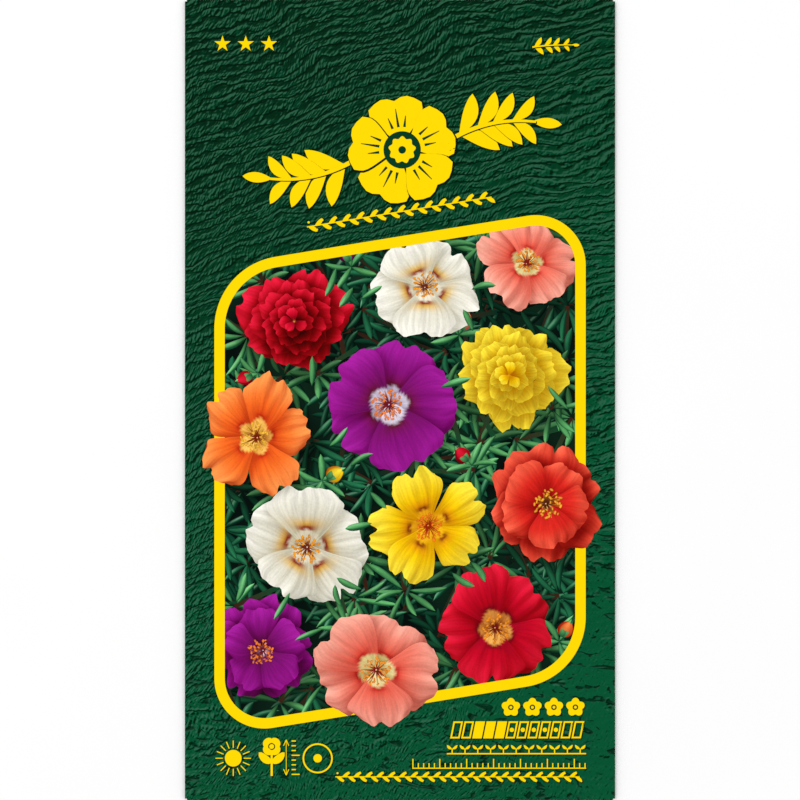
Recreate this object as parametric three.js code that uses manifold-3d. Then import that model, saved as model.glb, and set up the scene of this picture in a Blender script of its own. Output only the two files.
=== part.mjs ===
// A paper seed packet, lying on its back with its printed front up.
//
// One sheet of paper makes the packet. Its two side panels fold behind the front and overlap in a
// glued seam up the middle of the back. A bottom flap and a top flap then fold over both of them and
// are glued down. Inside lies a small flat sachet, sealed from two webs of film, and the sachet holds
// the seeds, which are too fine to be kept by the folded paper alone.
//
// Units are millimetres. X runs across the packet, Y up it and Z out of its front. The origin is the
// middle of its footprint, on the surface that it lies on.

import * as THREE from "three";
import { mergeVertices } from "three/addons/utils/BufferGeometryUtils.js";
import Module from "manifold-3d";

const wasm = await Module();
wasm.setup();

// Driving dimensions
const WIDTH = 80; // folded edge to folded edge
const HEIGHT = 149; // bottom fold to top fold
const PAPER = 0.14; // thickness of the sheet, with its varnish
const GLUE = 0.06; // thickness of a glue film
const SLACK = 0.1; // free height between the front and the back at the folded edges
const PUFF = 2.5; // how far the filled packet swells above its flat edges
const FLAT_END = 3; // length at each end that the flaps hold flat
const FLAT_SIDE = 1; // width at each side that the fold holds flat
const SEAM_OVERLAP = 11; // how far the two side panels overlap
const BOTTOM_FLAP = 14;
const TOP_FLAP = 18;
const FLAP_INSET = 1; // how far a flap's fold stays inside the side edges
const FLAP_TAPER = 3; // how much narrower each side of a flap gets towards its free edge
const FLAP_ROOT = 1; // length over which a flap grows out of the front, before its fold
const GLUE_MARGIN = 3; // bare paper between a glue film and the edge of its flap
const GLUE_STEP_GAP = 0.4; // from the left panel's free edge to the thick part of a flap's glue
const SACHET_WIDTH = 54;
const SACHET_HEIGHT = 70;
const SACHET_LOW = -8; // height of the sachet's middle on the packet: it slips towards the bottom
const SACHET_SEAL = 6; // width of the sealed margin round the sachet
const SACHET_BULGE = 1.3;
const FILM = 0.1; // thickness of the sachet's film
const SEED = { length: 0.8, width: 0.7, thickness: 0.5 }; // a seed is a flattened grain
const SEED_PITCH = 0.6; // grains lie closer than their width, so each one leans on its neighbours
const SEED_JITTER = 0.05; // how far a grain may lie from its place in the pattern
const SEED_TILT = 0.15; // how far a grain may lean, in radians
const SEED_PATCH = { width: 5.2, height: 3.4 }; // the patch that the seeds settle in
const SEED_LOW = -25.5; // height of that patch on the packet, in the lower half of the sachet
const SEED_START = 20; // first number of the seeded random sequence

// How finely the curved faces are cut
const FOLD_STEPS = 6; // even, so that one step falls on the outermost line of a fold
const PUFF_COLUMNS = 18;
const PUFF_ROWS = 26;
const BULGE_STEPS = 8;
const MERGE_DISTANCE = 1e-4; // corners closer than this are one corner

// Heights of the layers, from the surface that the packet lies on
const FLAP_TOP_FACE = PAPER;
const LEFT_PANEL = FLAP_TOP_FACE + GLUE; // underside of the outer side panel
const RIGHT_PANEL = LEFT_PANEL + PAPER + GLUE; // underside of the inner side panel
const INSIDE_FLOOR = RIGHT_PANEL + PAPER;
const FRONT = INSIDE_FLOOR + SLACK; // underside of the front at its flat edges
const SACHET_TOP_OF_BACK = INSIDE_FLOOR + FILM;

const END_FOLD_RADIUS = (FRONT + PAPER) / 2; // outside radius of the folds at the top and bottom
const END = HEIGHT / 2 - END_FOLD_RADIUS; // where those folds begin

const paperMaterial = new THREE.MeshStandardMaterial({ color: 0x064a2c, roughness: 0.45, metalness: 0 });
const glueMaterial = new THREE.MeshStandardMaterial({ color: 0xe6dfc8, roughness: 0.5, metalness: 0 });
const filmMaterial = new THREE.MeshStandardMaterial({ color: 0xf2efe6, roughness: 0.35, metalness: 0 });
const seedMaterial = new THREE.MeshStandardMaterial({ color: 0x4b4a4c, roughness: 0.4, metalness: 0.2 });

// The swell of the front at a point: nothing along its four edges, and most in its middle. Across the
// packet it is a low dome, and along it a plateau that falls away towards the two ends.
function swell(x, y) {
  const across = Math.min(1, Math.abs(x) / (WIDTH / 2 - FLAT_SIDE));
  const along = Math.min(1, Math.abs(y) / (HEIGHT / 2 - FLAT_END));
  return PUFF * (1 - across ** 2) ** 1.15 * (1 - along ** 4) ** 1.5;
}

// A sheet with a thickness. at(i, j) gives the two points, { outer, inner }, that face each other
// through the sheet at step i of its length and step j of its width.
function thickSheet(lengthSteps, widthSteps, at) {
  const positions = [];
  const triangles = [];
  const corner = (i, j, side) => 2 * (i * (widthSteps + 1) + j) + side;
  for (let i = 0; i <= lengthSteps; i++) {
    for (let j = 0; j <= widthSteps; j++) {
      const { outer, inner } = at(i, j);
      positions.push(...outer.toArray(), ...inner.toArray());
    }
  }
  const quad = (a, b, c, d) => triangles.push(a, c, b, a, d, c);
  for (let i = 0; i < lengthSteps; i++) {
    for (let j = 0; j < widthSteps; j++) {
      quad(corner(i, j, 0), corner(i + 1, j, 0), corner(i + 1, j + 1, 0), corner(i, j + 1, 0));
      quad(corner(i, j, 1), corner(i, j + 1, 1), corner(i + 1, j + 1, 1), corner(i + 1, j, 1));
    }
  }
  const rim = (from, to) => quad(corner(...from, 0), corner(...from, 1), corner(...to, 1), corner(...to, 0));
  for (let i = 0; i < lengthSteps; i++) {
    rim([i, 0], [i + 1, 0]);
    rim([i + 1, widthSteps], [i, widthSteps]);
  }
  for (let j = 0; j < widthSteps; j++) {
    rim([0, j + 1], [0, j]);
    rim([lengthSteps, j], [lengthSteps, j + 1]);
  }
  const geometry = new THREE.BufferGeometry();
  geometry.setAttribute("position", new THREE.Float32BufferAttribute(positions, 3));
  geometry.setIndex(triangles);
  return geometry;
}

// A manifold solid of a closed geometry.
function solidOf(geometry) {
  const bare = geometry.index ? geometry.toNonIndexed() : geometry.clone();
  bare.deleteAttribute("normal");
  bare.deleteAttribute("uv");
  const merged = mergeVertices(bare, MERGE_DISTANCE);
  const vertProperties = merged.attributes.position.array;
  const triVerts = new Uint32Array(merged.index.array);
  return new wasm.Manifold(new wasm.Mesh({ numProp: 3, vertProperties, triVerts }));
}

function geometryOf(solid) {
  const mesh = solid.getMesh();
  const geometry = new THREE.BufferGeometry();
  geometry.setAttribute("position", new THREE.Float32BufferAttribute(mesh.vertProperties, 3));
  geometry.setIndex(new THREE.BufferAttribute(mesh.triVerts, 1));
  const flat = geometry.toNonIndexed();
  flat.computeVertexNormals();
  return flat;
}

function joined(geometries) {
  return geometryOf(geometries.map(solidOf).reduce((whole, piece) => whole.add(piece)));
}

// The packet's cross-section halfway through the paper, from the free edge of the left side panel,
// round the left fold, over the front, round the right fold, to the free edge of the right one.
// Each point is { x, z, nx, nz }, with the normal pointing out of the packet.
function packetSection(y) {
  const points = [];
  const front = FRONT + PAPER / 2;
  const sides = [
    { sign: -1, level: LEFT_PANEL + PAPER / 2 },
    { sign: 1, level: RIGHT_PANEL + PAPER / 2 },
  ];
  const radii = sides.map((side) => (front - side.level) / 2);
  const foldX = sides.map((side, k) => side.sign * (WIDTH / 2 - PAPER / 2 - radii[k]));
  points.push({ x: SEAM_OVERLAP / 2, z: sides[0].level, nx: 0, nz: -1 });
  for (let k = 0; k <= FOLD_STEPS; k++) {
    const turn = (Math.PI * k) / FOLD_STEPS;
    const [nx, nz] = [-Math.sin(turn), -Math.cos(turn)];
    points.push({ x: foldX[0] + radii[0] * nx, z: front - radii[0] + radii[0] * nz, nx, nz });
  }
  for (let k = 1; k < PUFF_COLUMNS; k++) {
    const x = THREE.MathUtils.lerp(foldX[0], foldX[1], k / PUFF_COLUMNS);
    points.push({ x, z: front + swell(x, y), nx: 0, nz: 1 });
  }
  for (let k = 0; k <= FOLD_STEPS; k++) {
    const turn = (Math.PI * k) / FOLD_STEPS;
    const [nx, nz] = [Math.sin(turn), Math.cos(turn)];
    points.push({ x: foldX[1] + radii[1] * nx, z: front - radii[1] + radii[1] * nz, nx, nz });
  }
  points.push({ x: -SEAM_OVERLAP / 2, z: sides[1].level, nx: 0, nz: -1 });
  return points;
}

// The front, both side folds and both side panels, as one sleeve open at both ends.
function sleeve() {
  const stops = [-END];
  for (let k = 0; k <= PUFF_ROWS; k++) {
    stops.push((HEIGHT / 2 - FLAT_END) * (-1 + (2 * k) / PUFF_ROWS));
  }
  stops.push(END);
  const sections = stops.map(packetSection);
  return thickSheet(stops.length - 1, sections[0].length - 1, (i, j) => {
    const { x, z, nx, nz } = sections[i][j];
    const point = (offset) => new THREE.Vector3(x + nx * offset, stops[i], z + nz * offset);
    return { outer: point(PAPER / 2), inner: point(-PAPER / 2) };
  });
}

// A flap that leaves the front at one end, folds round and lies under the side panels. end is 1 at
// the top of the packet and -1 at the bottom.
function flap(end, length) {
  const radius = END_FOLD_RADIUS - PAPER / 2;
  const middle = END_FOLD_RADIUS;
  const line = [{ y: END - FLAP_ROOT, z: middle + radius, ny: 0, nz: 1 }];
  for (let k = 0; k <= 2 * FOLD_STEPS; k++) {
    const turn = (Math.PI * k) / (2 * FOLD_STEPS);
    const [ny, nz] = [Math.sin(turn), Math.cos(turn)];
    line.push({ y: END + radius * ny, z: middle + radius * nz, ny, nz });
  }
  line.push({ y: HEIGHT / 2 - length, z: middle - radius, ny: 0, nz: -1 });
  const halfWidth = (i) => WIDTH / 2 - FLAP_INSET - (i === line.length - 1 ? FLAP_TAPER : 0);
  return thickSheet(line.length - 1, 1, (i, j) => {
    const { y, z, ny, nz } = line[i];
    const x = end * (2 * j - 1) * halfWidth(i);
    const point = (offset) => new THREE.Vector3(x, end * (y + ny * offset), z + nz * offset);
    return { outer: point(PAPER / 2), inner: point(-PAPER / 2) };
  });
}

// The film of glue under a flap. It is thin under the left panel and thicker past the seam, where
// the right panel lies one sheet higher.
function flapGlue(end, length) {
  const half = WIDTH / 2 - FLAP_INSET - FLAP_TAPER - GLUE_MARGIN;
  const step = SEAM_OVERLAP / 2 + GLUE_STEP_GAP;
  const outline = new THREE.Shape([
    new THREE.Vector2(-half, FLAP_TOP_FACE),
    new THREE.Vector2(half, FLAP_TOP_FACE),
    new THREE.Vector2(half, RIGHT_PANEL),
    new THREE.Vector2(step, RIGHT_PANEL),
    new THREE.Vector2(step, LEFT_PANEL),
    new THREE.Vector2(-half, LEFT_PANEL),
  ]);
  const depth = length - 2 * GLUE_MARGIN - END_FOLD_RADIUS;
  const geometry = new THREE.ExtrudeGeometry(outline, { depth, bevelEnabled: false });
  geometry.rotateX(Math.PI / 2); // the outline stands in XZ, and its depth runs along -Y
  const nearFold = end * (END - GLUE_MARGIN);
  geometry.translate(0, end > 0 ? nearFold : nearFold + depth, 0);
  return geometry;
}

function seamGlue() {
  const geometry = new THREE.BoxGeometry(
    SEAM_OVERLAP - GLUE_MARGIN, HEIGHT - 2 * FLAT_END - 2 * GLUE_MARGIN, GLUE);
  geometry.translate(0, 0, RIGHT_PANEL - GLUE / 2);
  return geometry;
}

function sachetBack() {
  const geometry = new THREE.BoxGeometry(SACHET_WIDTH, SACHET_HEIGHT, FILM);
  geometry.translate(0, SACHET_LOW, SACHET_TOP_OF_BACK - FILM / 2);
  return geometry;
}

// The bulge of the sachet's front web: nothing over the sealed margin, most in the middle.
function sachetBulge(x, y) {
  const across = Math.min(1, Math.abs(x) / (SACHET_WIDTH / 2 - SACHET_SEAL));
  const along = Math.min(1, Math.abs(y) / (SACHET_HEIGHT / 2 - SACHET_SEAL));
  return SACHET_BULGE * (1 - across ** 2) * (1 - along ** 2);
}

function sachetFront() {
  const stops = (size) => {
    const pouch = size / 2 - SACHET_SEAL;
    const inside = Array.from({ length: BULGE_STEPS + 1 }, (_, k) => pouch * ((2 * k) / BULGE_STEPS - 1));
    return [-size / 2, ...inside, size / 2];
  };
  const [xs, ys] = [stops(SACHET_WIDTH), stops(SACHET_HEIGHT)];
  return thickSheet(ys.length - 1, xs.length - 1, (i, j) => {
    const base = SACHET_TOP_OF_BACK + sachetBulge(xs[j], ys[i]);
    const point = (z) => new THREE.Vector3(xs[j], ys[i] + SACHET_LOW, z);
    return { outer: point(base + FILM), inner: point(base) };
  });
}

// A seeded sequence of numbers from 0 to 1, by the usual linear congruence.
function randomSequence(start) {
  let state = start;
  return () => {
    state = (state * 1664525 + 1013904223) % 4294967296;
    return state / 4294967296;
  };
}

// The seeds, one layer deep on the sachet's back web, in rows that are offset like bricks.
function seedBed() {
  const random = randomSequence(SEED_START);
  const rowPitch = (SEED_PITCH * Math.sqrt(3)) / 2;
  const grains = [];
  const rows = Math.floor(SEED_PATCH.height / rowPitch);
  const columns = Math.floor(SEED_PATCH.width / SEED_PITCH);
  for (let row = 0; row <= rows; row++) {
    for (let column = 0; column <= columns; column++) {
      const x = (column + (row % 2) / 2) * SEED_PITCH - SEED_PATCH.width / 2;
      const y = row * rowPitch - SEED_PATCH.height / 2;
      const [dx, dy, turn, tilt] = [random() - 0.5, random() - 0.5, random() * Math.PI, random() - 0.5];
      const inPatch = (x / (SEED_PATCH.width / 2)) ** 2 + (y / (SEED_PATCH.height / 2)) ** 2 <= 1;
      if (!inPatch) continue;
      const grain = new THREE.IcosahedronGeometry(0.5, 0);
      grain.scale(SEED.length, SEED.width, SEED.thickness);
      grain.rotateX(2 * SEED_TILT * tilt);
      grain.rotateZ(turn);
      grain.computeBoundingBox();
      grain.translate(
        x + 2 * SEED_JITTER * dx,
        y + 2 * SEED_JITTER * dy + SEED_LOW,
        SACHET_TOP_OF_BACK - grain.boundingBox.min.z);
      grains.push(grain);
    }
  }
  return joined(grains);
}

function piece(name, geometry, material) {
  const mesh = new THREE.Mesh(geometry, material);
  mesh.name = name;
  return mesh;
}

const sachet = new THREE.Group();
sachet.add(piece("sachet_back", sachetBack(), filmMaterial));
sachet.add(piece("sachet_front", sachetFront(), filmMaterial));
sachet.add(piece("seeds", seedBed(), seedMaterial));

const foldedSheet = joined([sleeve(), flap(1, TOP_FLAP), flap(-1, BOTTOM_FLAP)]);

const packet = new THREE.Group();
packet.add(piece("packet_paper", foldedSheet, paperMaterial));
packet.add(piece("seam_glue", seamGlue(), glueMaterial));
packet.add(piece("top_flap_glue", flapGlue(1, TOP_FLAP), glueMaterial));
packet.add(piece("bottom_flap_glue", flapGlue(-1, BOTTOM_FLAP), glueMaterial));
packet.add(sachet);

export default packet;
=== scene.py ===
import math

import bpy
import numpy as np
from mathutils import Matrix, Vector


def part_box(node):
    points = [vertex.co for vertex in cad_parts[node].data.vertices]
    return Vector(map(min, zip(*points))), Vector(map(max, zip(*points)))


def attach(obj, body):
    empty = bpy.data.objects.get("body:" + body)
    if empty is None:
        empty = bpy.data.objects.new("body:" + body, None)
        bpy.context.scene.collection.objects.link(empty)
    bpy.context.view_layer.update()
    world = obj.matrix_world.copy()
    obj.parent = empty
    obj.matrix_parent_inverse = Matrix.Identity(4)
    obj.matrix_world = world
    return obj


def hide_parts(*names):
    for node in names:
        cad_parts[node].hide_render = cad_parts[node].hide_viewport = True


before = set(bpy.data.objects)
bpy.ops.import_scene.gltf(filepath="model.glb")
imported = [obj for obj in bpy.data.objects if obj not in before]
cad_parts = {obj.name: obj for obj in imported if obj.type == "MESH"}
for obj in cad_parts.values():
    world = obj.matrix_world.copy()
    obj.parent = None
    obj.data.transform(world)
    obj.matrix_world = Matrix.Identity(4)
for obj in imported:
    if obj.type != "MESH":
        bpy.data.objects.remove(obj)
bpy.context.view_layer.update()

# A printed paper seed packet, lying on its back under plain soft light.
#
# The folded sheet is one mesh with the thickness of the paper. The prints on its front and on its
# back are a piece each, of flat shapes: each lies about a thousandth of a millimetre above the ones
# that it overlaps, as inks do. Shapes are worked out in millimetres and go into Blender in metres.

MM = 0.001

# ---------------------------------------------------------------------------------------- sizes
low_corner, high_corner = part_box("packet_paper")
WIDTH = (high_corner.x - low_corner.x) / MM
HEIGHT = (high_corner.y - low_corner.y) / MM
PEAK = high_corner.z / MM
TO_CORNER = (WIDTH / 2, HEIGHT / 2)  # added to a place, it gives it from the lower left corner

PAPER = 0.14
GLUE = 0.06
SLACK = 0.1  # room inside the packet where it is flat
LEFT_PANEL = PAPER + GLUE  # outer face of the outer side panel, above the floor
RIGHT_PANEL = LEFT_PANEL + PAPER + GLUE  # outer face of the inner side panel
FLAT_TOP = RIGHT_PANEL + PAPER + SLACK + PAPER  # outer face of the front at its flat edges
FLAT_END = 3  # the front is flat this far in from the packet's ends
FLAT_SIDE = 1  # and this far in from its sides
SEAM = 5.5  # the side panels end at this x and at -SEAM, lapped in between
TOP_FLAP = 18
BOTTOM_FLAP = 14
FLAP_INSET = 0.4  # from the packet's side edges to where the end flaps start
FLAP_TAPER = 3  # how much further in each side of a flap is at its free end
SHEET_DROP = 0.05  # how far the sheet's front lies below front_height, to leave room for the ink
INK_RISE = 0.015  # from front_height to the lowest ink, more than flat faces cut off the folds' curve
INK_LEVEL = 0.0012  # from one layer of ink to the next
CLEARANCE = 3  # levels left between a large face of ink and what is printed on it
LEFT_FOLD = (FLAT_TOP - LEFT_PANEL) / 2  # radii of the folds
RIGHT_FOLD = (FLAT_TOP - RIGHT_PANEL) / 2
END_FOLD = FLAT_TOP / 2
END = HEIGHT / 2 - END_FOLD  # where the end folds start

# the low waves in the front: height, length, heading in degrees, phase
WAVES = ((0.10, 46, 25, 0.4), (0.07, 38, 110, 2.0), (0.05, 31, 70, 4.1))


def ramp(start, end, value):
    """0 before start, 1 after end, and smooth between them."""
    t = np.clip((value - start) / (end - start), 0, 1)
    return t * t * (3 - 2 * t)


def front_height(x, y):
    """Height of the front's outer face above the floor. The front swells over the sachet, and long
    low waves run through the paper."""
    across = np.minimum(1, np.abs(x) / (WIDTH / 2 - FLAT_SIDE))
    along = np.minimum(1, np.abs(y) / (HEIGHT / 2 - FLAT_END))
    swell = (1 - across**2) ** 1.15 * (1 - along**4) ** 1.5
    height = FLAT_TOP + (PEAK - FLAT_TOP) * swell
    for size, length, heading, phase in WAVES:
        angle = math.radians(heading)
        run = x * math.cos(angle) + y * math.sin(angle)
        height = height + size * np.minimum(1, 2 * swell) * np.sin(2 * np.pi * run / length + phase)
    return height


def printed_height(x, y):
    """Height of the lowest ink on the front, which goes a little way round the folds."""
    height = front_height(x, y) + INK_RISE
    past_left, past_right, past_ends = -x - WIDTH / 2, x - WIDTH / 2, np.abs(y) - HEIGHT / 2
    for past, fold in ((past_left, LEFT_FOLD), (past_right, RIGHT_FOLD), (past_ends, END_FOLD)):
        share = np.clip(past / fold + 1, 0, 1)
        height = height - fold * (1 - np.sqrt(1 - share**2))
    return height


def srgb(red, green, blue):
    """A colour of three numbers up to 255, as shaders take it."""
    c = np.array([red, green, blue]) / 255
    return np.where(c <= 0.04045, c / 12.92, ((c + 0.055) / 1.055) ** 2.4)


def new_piece(name, points, faces, places, materials):
    """A piece of the printed paper, of points in millimetres. places are where they lie on its map
    for baking, from 0 to 1."""
    mesh = bpy.data.meshes.new(name)
    mesh.from_pydata((np.array(points) * MM).tolist(), [], faces)
    corners = np.array([loop.vertex_index for loop in mesh.loops])
    layer = mesh.uv_layers.new(name="OFBake")
    layer.uv.foreach_set("vector", places[corners].astype(np.float32).ravel())
    piece = bpy.data.objects.new(name, mesh)
    bpy.context.collection.objects.link(piece)
    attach(piece, "root")
    for material in materials:
        mesh.materials.append(material)
    return piece


# ----------------------------------------------------------------------- vectors in the plane
def rotate(points, angle):
    """Points turned anticlockwise about the origin."""
    points = np.asarray(points, float)
    x, y = points[..., 0], points[..., 1]
    c, n = math.cos(angle), math.sin(angle)
    return np.stack([c * x - n * y, n * x + c * y], -1)


def toward(angle):
    """The unit vector with this heading."""
    return rotate((1, 0), angle)


def leftward(ways):
    """Vectors turned to the left by a right angle."""
    return np.stack([-ways[..., 1], ways[..., 0]], -1)


def unit(ways):
    return ways / np.linalg.norm(ways, axis=-1, keepdims=True)


def cross(first, second):
    """Above 0 where the second vector points to the left of the first."""
    return first[..., 0] * second[..., 1] - first[..., 1] * second[..., 0]


def net(rows, columns):
    """Two coordinates over a grid of points: 0 to 1 down its rows, and -1 to 1 across its columns."""
    return np.meshgrid(np.linspace(0, 1, rows), np.linspace(-1, 1, columns), indexing="ij")


def from_sides(points, line):
    """For each point and each side of a closed line: the way to the point from the nearest place on
    the side, and a number above 0 where the point lies to the left of the side."""
    side = np.roll(line, -1, 0) - line
    gap = points[:, None] - line
    along = np.clip((gap * side).sum(2) / np.maximum((side**2).sum(1), 1e-12), 0, 1)
    return gap - along[..., None] * side, cross(side, gap)


# ------------------------------------------------------------------------------------ materials
class Value:
    """What comes out of a node: a number, a place or a colour. Values can be added, subtracted and
    multiplied."""

    def __init__(self, nodes, socket):
        self.nodes, self.socket = nodes, socket

    def math(self, operation, *others):
        kind = "ShaderNodeMath" if self.socket.type == "VALUE" else "ShaderNodeVectorMath"
        return self.nodes.add(kind, 0, dict(enumerate((self, *others))), operation=operation)

    def __add__(self, other):
        return self.math("ADD", other)

    def __sub__(self, other):
        return self.math("SUBTRACT", other)

    def __mul__(self, other):
        return self.math("MULTIPLY", other)

    def along(self, axis):
        """One coordinate of a place."""
        return self.nodes.add("ShaderNodeSeparateXYZ", axis, {0: self})

    def ramp(self, start, end, low=0.0, high=1.0):
        """Low up to start, high from end on, and smooth between them."""
        limits = {"From Min": start, "From Max": end, "To Min": low, "To Max": high}
        return self.nodes.add("ShaderNodeMapRange", "Result", {"Value": self, **limits},
                              interpolation_type="SMOOTHSTEP")

    def turned(self, degrees, stretch=1.0):
        """Places turned and squeezed so that a texture on them is drawn out along a heading."""
        turn = {"Vector": self, "Rotation": (0, 0, -math.radians(degrees))}
        turned = self.nodes.add("ShaderNodeMapping", 0, turn)
        return self.nodes.add("ShaderNodeMapping", 0, {"Vector": turned, "Scale": (1 / stretch, 1, 1)})

    def noise(self, size, detail=2.0, roughness=0.5, distortion=0.0, output="Fac"):
        """Noise from 0 to 1 at a place. Its lumps are about size millimetres across."""
        settings = {"Scale": 1 / size, "Detail": detail, "Roughness": roughness, "Distortion": distortion}
        return self.nodes.add("ShaderNodeTexNoise", output, {"Vector": self, **settings})

    def knobs(self, size):
        """Distance from the nearest of many scattered points, about size millimetres apart."""
        return self.nodes.add("ShaderNodeTexVoronoi", "Distance", {"Vector": self, "Scale": 1 / size})


class Nodes:
    """A material's node tree."""

    def __init__(self, name):
        self.material = bpy.data.materials.new(name)
        self.material.use_nodes = True
        self.tree = self.material.node_tree
        self.shader = self.tree.nodes["Principled BSDF"]
        self.place = self.add("ShaderNodeTexCoord", "Object", {}) * (1 / MM)  # in millimetres

    def add(self, kind, output, inputs, **settings):
        """Adds a node with these inputs and settings, and gives one of its outputs."""
        node = self.tree.nodes.new(kind)
        for key, value in settings.items():
            setattr(node, key, value)
        for key, value in inputs.items():
            self.put(value, node.inputs[key])
        return Value(self, node.outputs[output])

    def put(self, value, socket):
        if isinstance(value, Value):
            self.tree.links.new(value.socket, socket)
        elif socket.type == "RGBA":
            socket.default_value = (*value, 1)
        elif socket.type == "VECTOR":
            socket.default_value = np.broadcast_to(value, 3)
        else:
            socket.default_value = value

    def surface(self, **values):
        """Sets inputs of the shader: Base_Color is its Base Color."""
        for name, value in values.items():
            self.put(value, self.shader.inputs[name.replace("_", " ")])

    def bump(self, height, strength, distance):
        inputs = {"Height": height, "Strength": strength, "Distance": distance * MM}
        self.surface(Normal=self.add("ShaderNodeBump", "Normal", inputs))

    def mix(self, share, first, second, blend="MIX"):
        return self.add("ShaderNodeMix", 2, {"Factor": share, 6: first, 7: second},
                        data_type="RGBA", blend_type=blend)

    def mottle(self, first, second, size, detail=2.0, roughness=0.5):
        """Two colours in clouds."""
        return self.mix(self.place.noise(size, detail, roughness), srgb(*first), srgb(*second))

    def varnished(self, colour, roughness=0.36, fibre=0.004):
        """The material in a colour, with the sheen of printed paper: an uneven gloss over faint fibres."""
        patches = self.place.noise(size=6, detail=3)
        fine = self.place.noise(size=0.5, detail=4, roughness=0.7)
        self.surface(Base_Color=colour, Specular_IOR_Level=0.02,
                     Roughness=patches * 0.08 + fine * 0.06 + (roughness - 0.07))
        self.bump(fine, 0.25, fibre)
        return self.material


LIT_STEP = (-0.075, 0.07)  # half of how far apart the two samples of the lit relief lie
RIDGE_HEADING = 20  # degrees
RIDGE_SPACING = 1.75
RIDGE_BOW = 0.0009  # how the ridges level out towards the right


def ground_ink(nodes):
    """The green ground, a printed picture of grained hide that is lit from the upper left. Pleated
    ridges cover it at the upper left. Down and to the right they give way to smoother, lighter skin
    with cracks."""
    x, y = nodes.place.along("X"), nodes.place.along("Y")
    from_left = x + WIDTH / 2
    bowed = {"X": x, "Y": from_left * from_left * RIDGE_BOW + y}
    flat = nodes.add("ShaderNodeCombineXYZ", 0, bowed)
    drift = (flat + (4, 9, 0)).noise(size=15, detail=1, output="Color")
    warped = flat + (drift - 0.5) * 6

    down = x * 0.5 - y  # grows from the upper left to the lower right
    lighter, woven, smoother = down.ramp(-70, 28), down.ramp(-75, 60), down.ramp(-5, 85)
    coarser = (x * -1 - y * 0.9).ramp(5, 60)  # grows to the lower left

    def relief(side):
        """Heights at one of the two samples: ridges, their fine pleats, a finer weave, and cracks."""
        here = warped + (side * LIT_STEP[0], side * LIT_STEP[1], 0)
        sway = here.turned(RIDGE_HEADING, 2.8).noise(size=1.7)
        quiver = here.turned(30, 1.8).noise(size=0.8, detail=1)
        across = here.turned(RIDGE_HEADING).along("Y") + sway * 3.6 + quiver * 1.1
        phase = across.math("DIVIDE", RIDGE_SPACING).math("FRACT")
        ridges = phase.ramp(0, 0.24) * phase.ramp(0.26, 0.96, 1, 0)
        pleats = here.turned(58, 4.0).noise(size=0.34, detail=1, roughness=0.4)
        weave = here.turned(-42, 2.6).noise(size=0.42, detail=1)
        cracks = here.turned(6, 2.6).noise(size=1.8, roughness=0.4, distortion=0.4)
        return ridges, pleats, weave, (cracks - 0.5).math("ABSOLUTE").ramp(0.01, 0.058)

    behind, ahead = relief(-1), relief(1)
    ridges, pleats, weave, cracks = [b - a for b, a in zip(behind, ahead)]
    raised = (warped.turned(12, 2.2).noise(size=2.0) - smoother * 0.32).ramp(0.28, 0.44)
    ridges = ridges * raised * x.ramp(5, 34, 1, 1.6)
    pleats = pleats * behind[0].ramp(0, 1, 0.45, 1.35) * smoother.ramp(0, 1, 1.55, 0.65)
    pleats = pleats * coarser.ramp(0, 1, 1, 1.8) * x.ramp(5, 34, 1, 0.7)
    weave = weave * woven * smoother.ramp(0, 1, 1.7, 0.9) * coarser.ramp(0, 1, 1, 1.5)
    cracked = (warped + (31, 7, 0)).turned(6, 1.8).noise(size=1.5, detail=1).ramp(0.52, 0.58)
    cracked = cracked * down.ramp(-25, 35)
    lit = ridges * 1.05 + pleats + weave + cracks * cracked * 1.2

    low = nodes.mix(lighter, srgb(0, 38, 18), srgb(1, 76, 44))
    high = nodes.mix(lighter, srgb(1, 58, 33), srgb(8, 87, 54))
    top_share = behind[0] * smoother.ramp(0, 1, 1, 0.25) + smoother * 0.45
    colour = nodes.mix(top_share, low, high)
    glint = nodes.mix(woven, srgb(43, 93, 67), srgb(46, 98, 74))
    colour = nodes.mix(lit.ramp(0.05, 0.52) * x.ramp(5, 34, 1, 0.8), colour, glint)
    shade = nodes.mix(lighter, srgb(0, 24, 9), srgb(0, 31, 13))
    colour = nodes.mix(lit.ramp(-0.03, -0.38, 0, 0.97), colour, shade)
    line = (ahead[3] * -1 + 1) * cracked
    return nodes.mix(line * 0.8, colour, srgb(0, 30, 13))


def ground_material():
    nodes = Nodes("green_ground")
    return nodes.varnished(ground_ink(nodes))


def picture_material():
    """Ink whose colour each point carries, with faint veins along the petals and leaves."""
    nodes = Nodes("picture_ink")
    ink = nodes.add("ShaderNodeAttribute", "Color", {}, attribute_name="ink")
    grain = nodes.add("ShaderNodeAttribute", "Vector", {}, attribute_name="grain")
    veins = grain.noise(size=1, detail=3, roughness=0.6).ramp(0.3, 0.7, 0.86, 1.12)
    tone = veins + nodes.place.noise(size=0.35).ramp(0.3, 0.7, -0.04, 0.04)
    grey = nodes.add("ShaderNodeCombineColor", 0, {"Red": tone, "Green": tone, "Blue": tone})
    return nodes.varnished(nodes.mix(1.0, ink, grey, blend="MULTIPLY"))


def yellow_material():
    nodes = Nodes("yellow_ink")
    return nodes.varnished(nodes.mottle((255, 215, 0), (254, 220, 4), size=1.2, detail=4, roughness=0.6))


def bare_paper_material():
    """Unprinted paper: fibres, a warm white, no gloss."""
    nodes = Nodes("bare_paper")
    fibres = nodes.place.turned(12, 4).noise(size=0.35, detail=5, roughness=0.7)
    tint = nodes.mottle((240, 236, 224), (250, 248, 240), size=3)
    nodes.surface(Base_Color=nodes.mix(fibres.ramp(0.3, 0.75, 0, 0.25), tint, srgb(222, 215, 198)),
                  Roughness=fibres.ramp(0.2, 0.8, 0.78, 0.95))
    nodes.bump(fibres, 0.4, 0.01)
    return nodes.material


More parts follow.
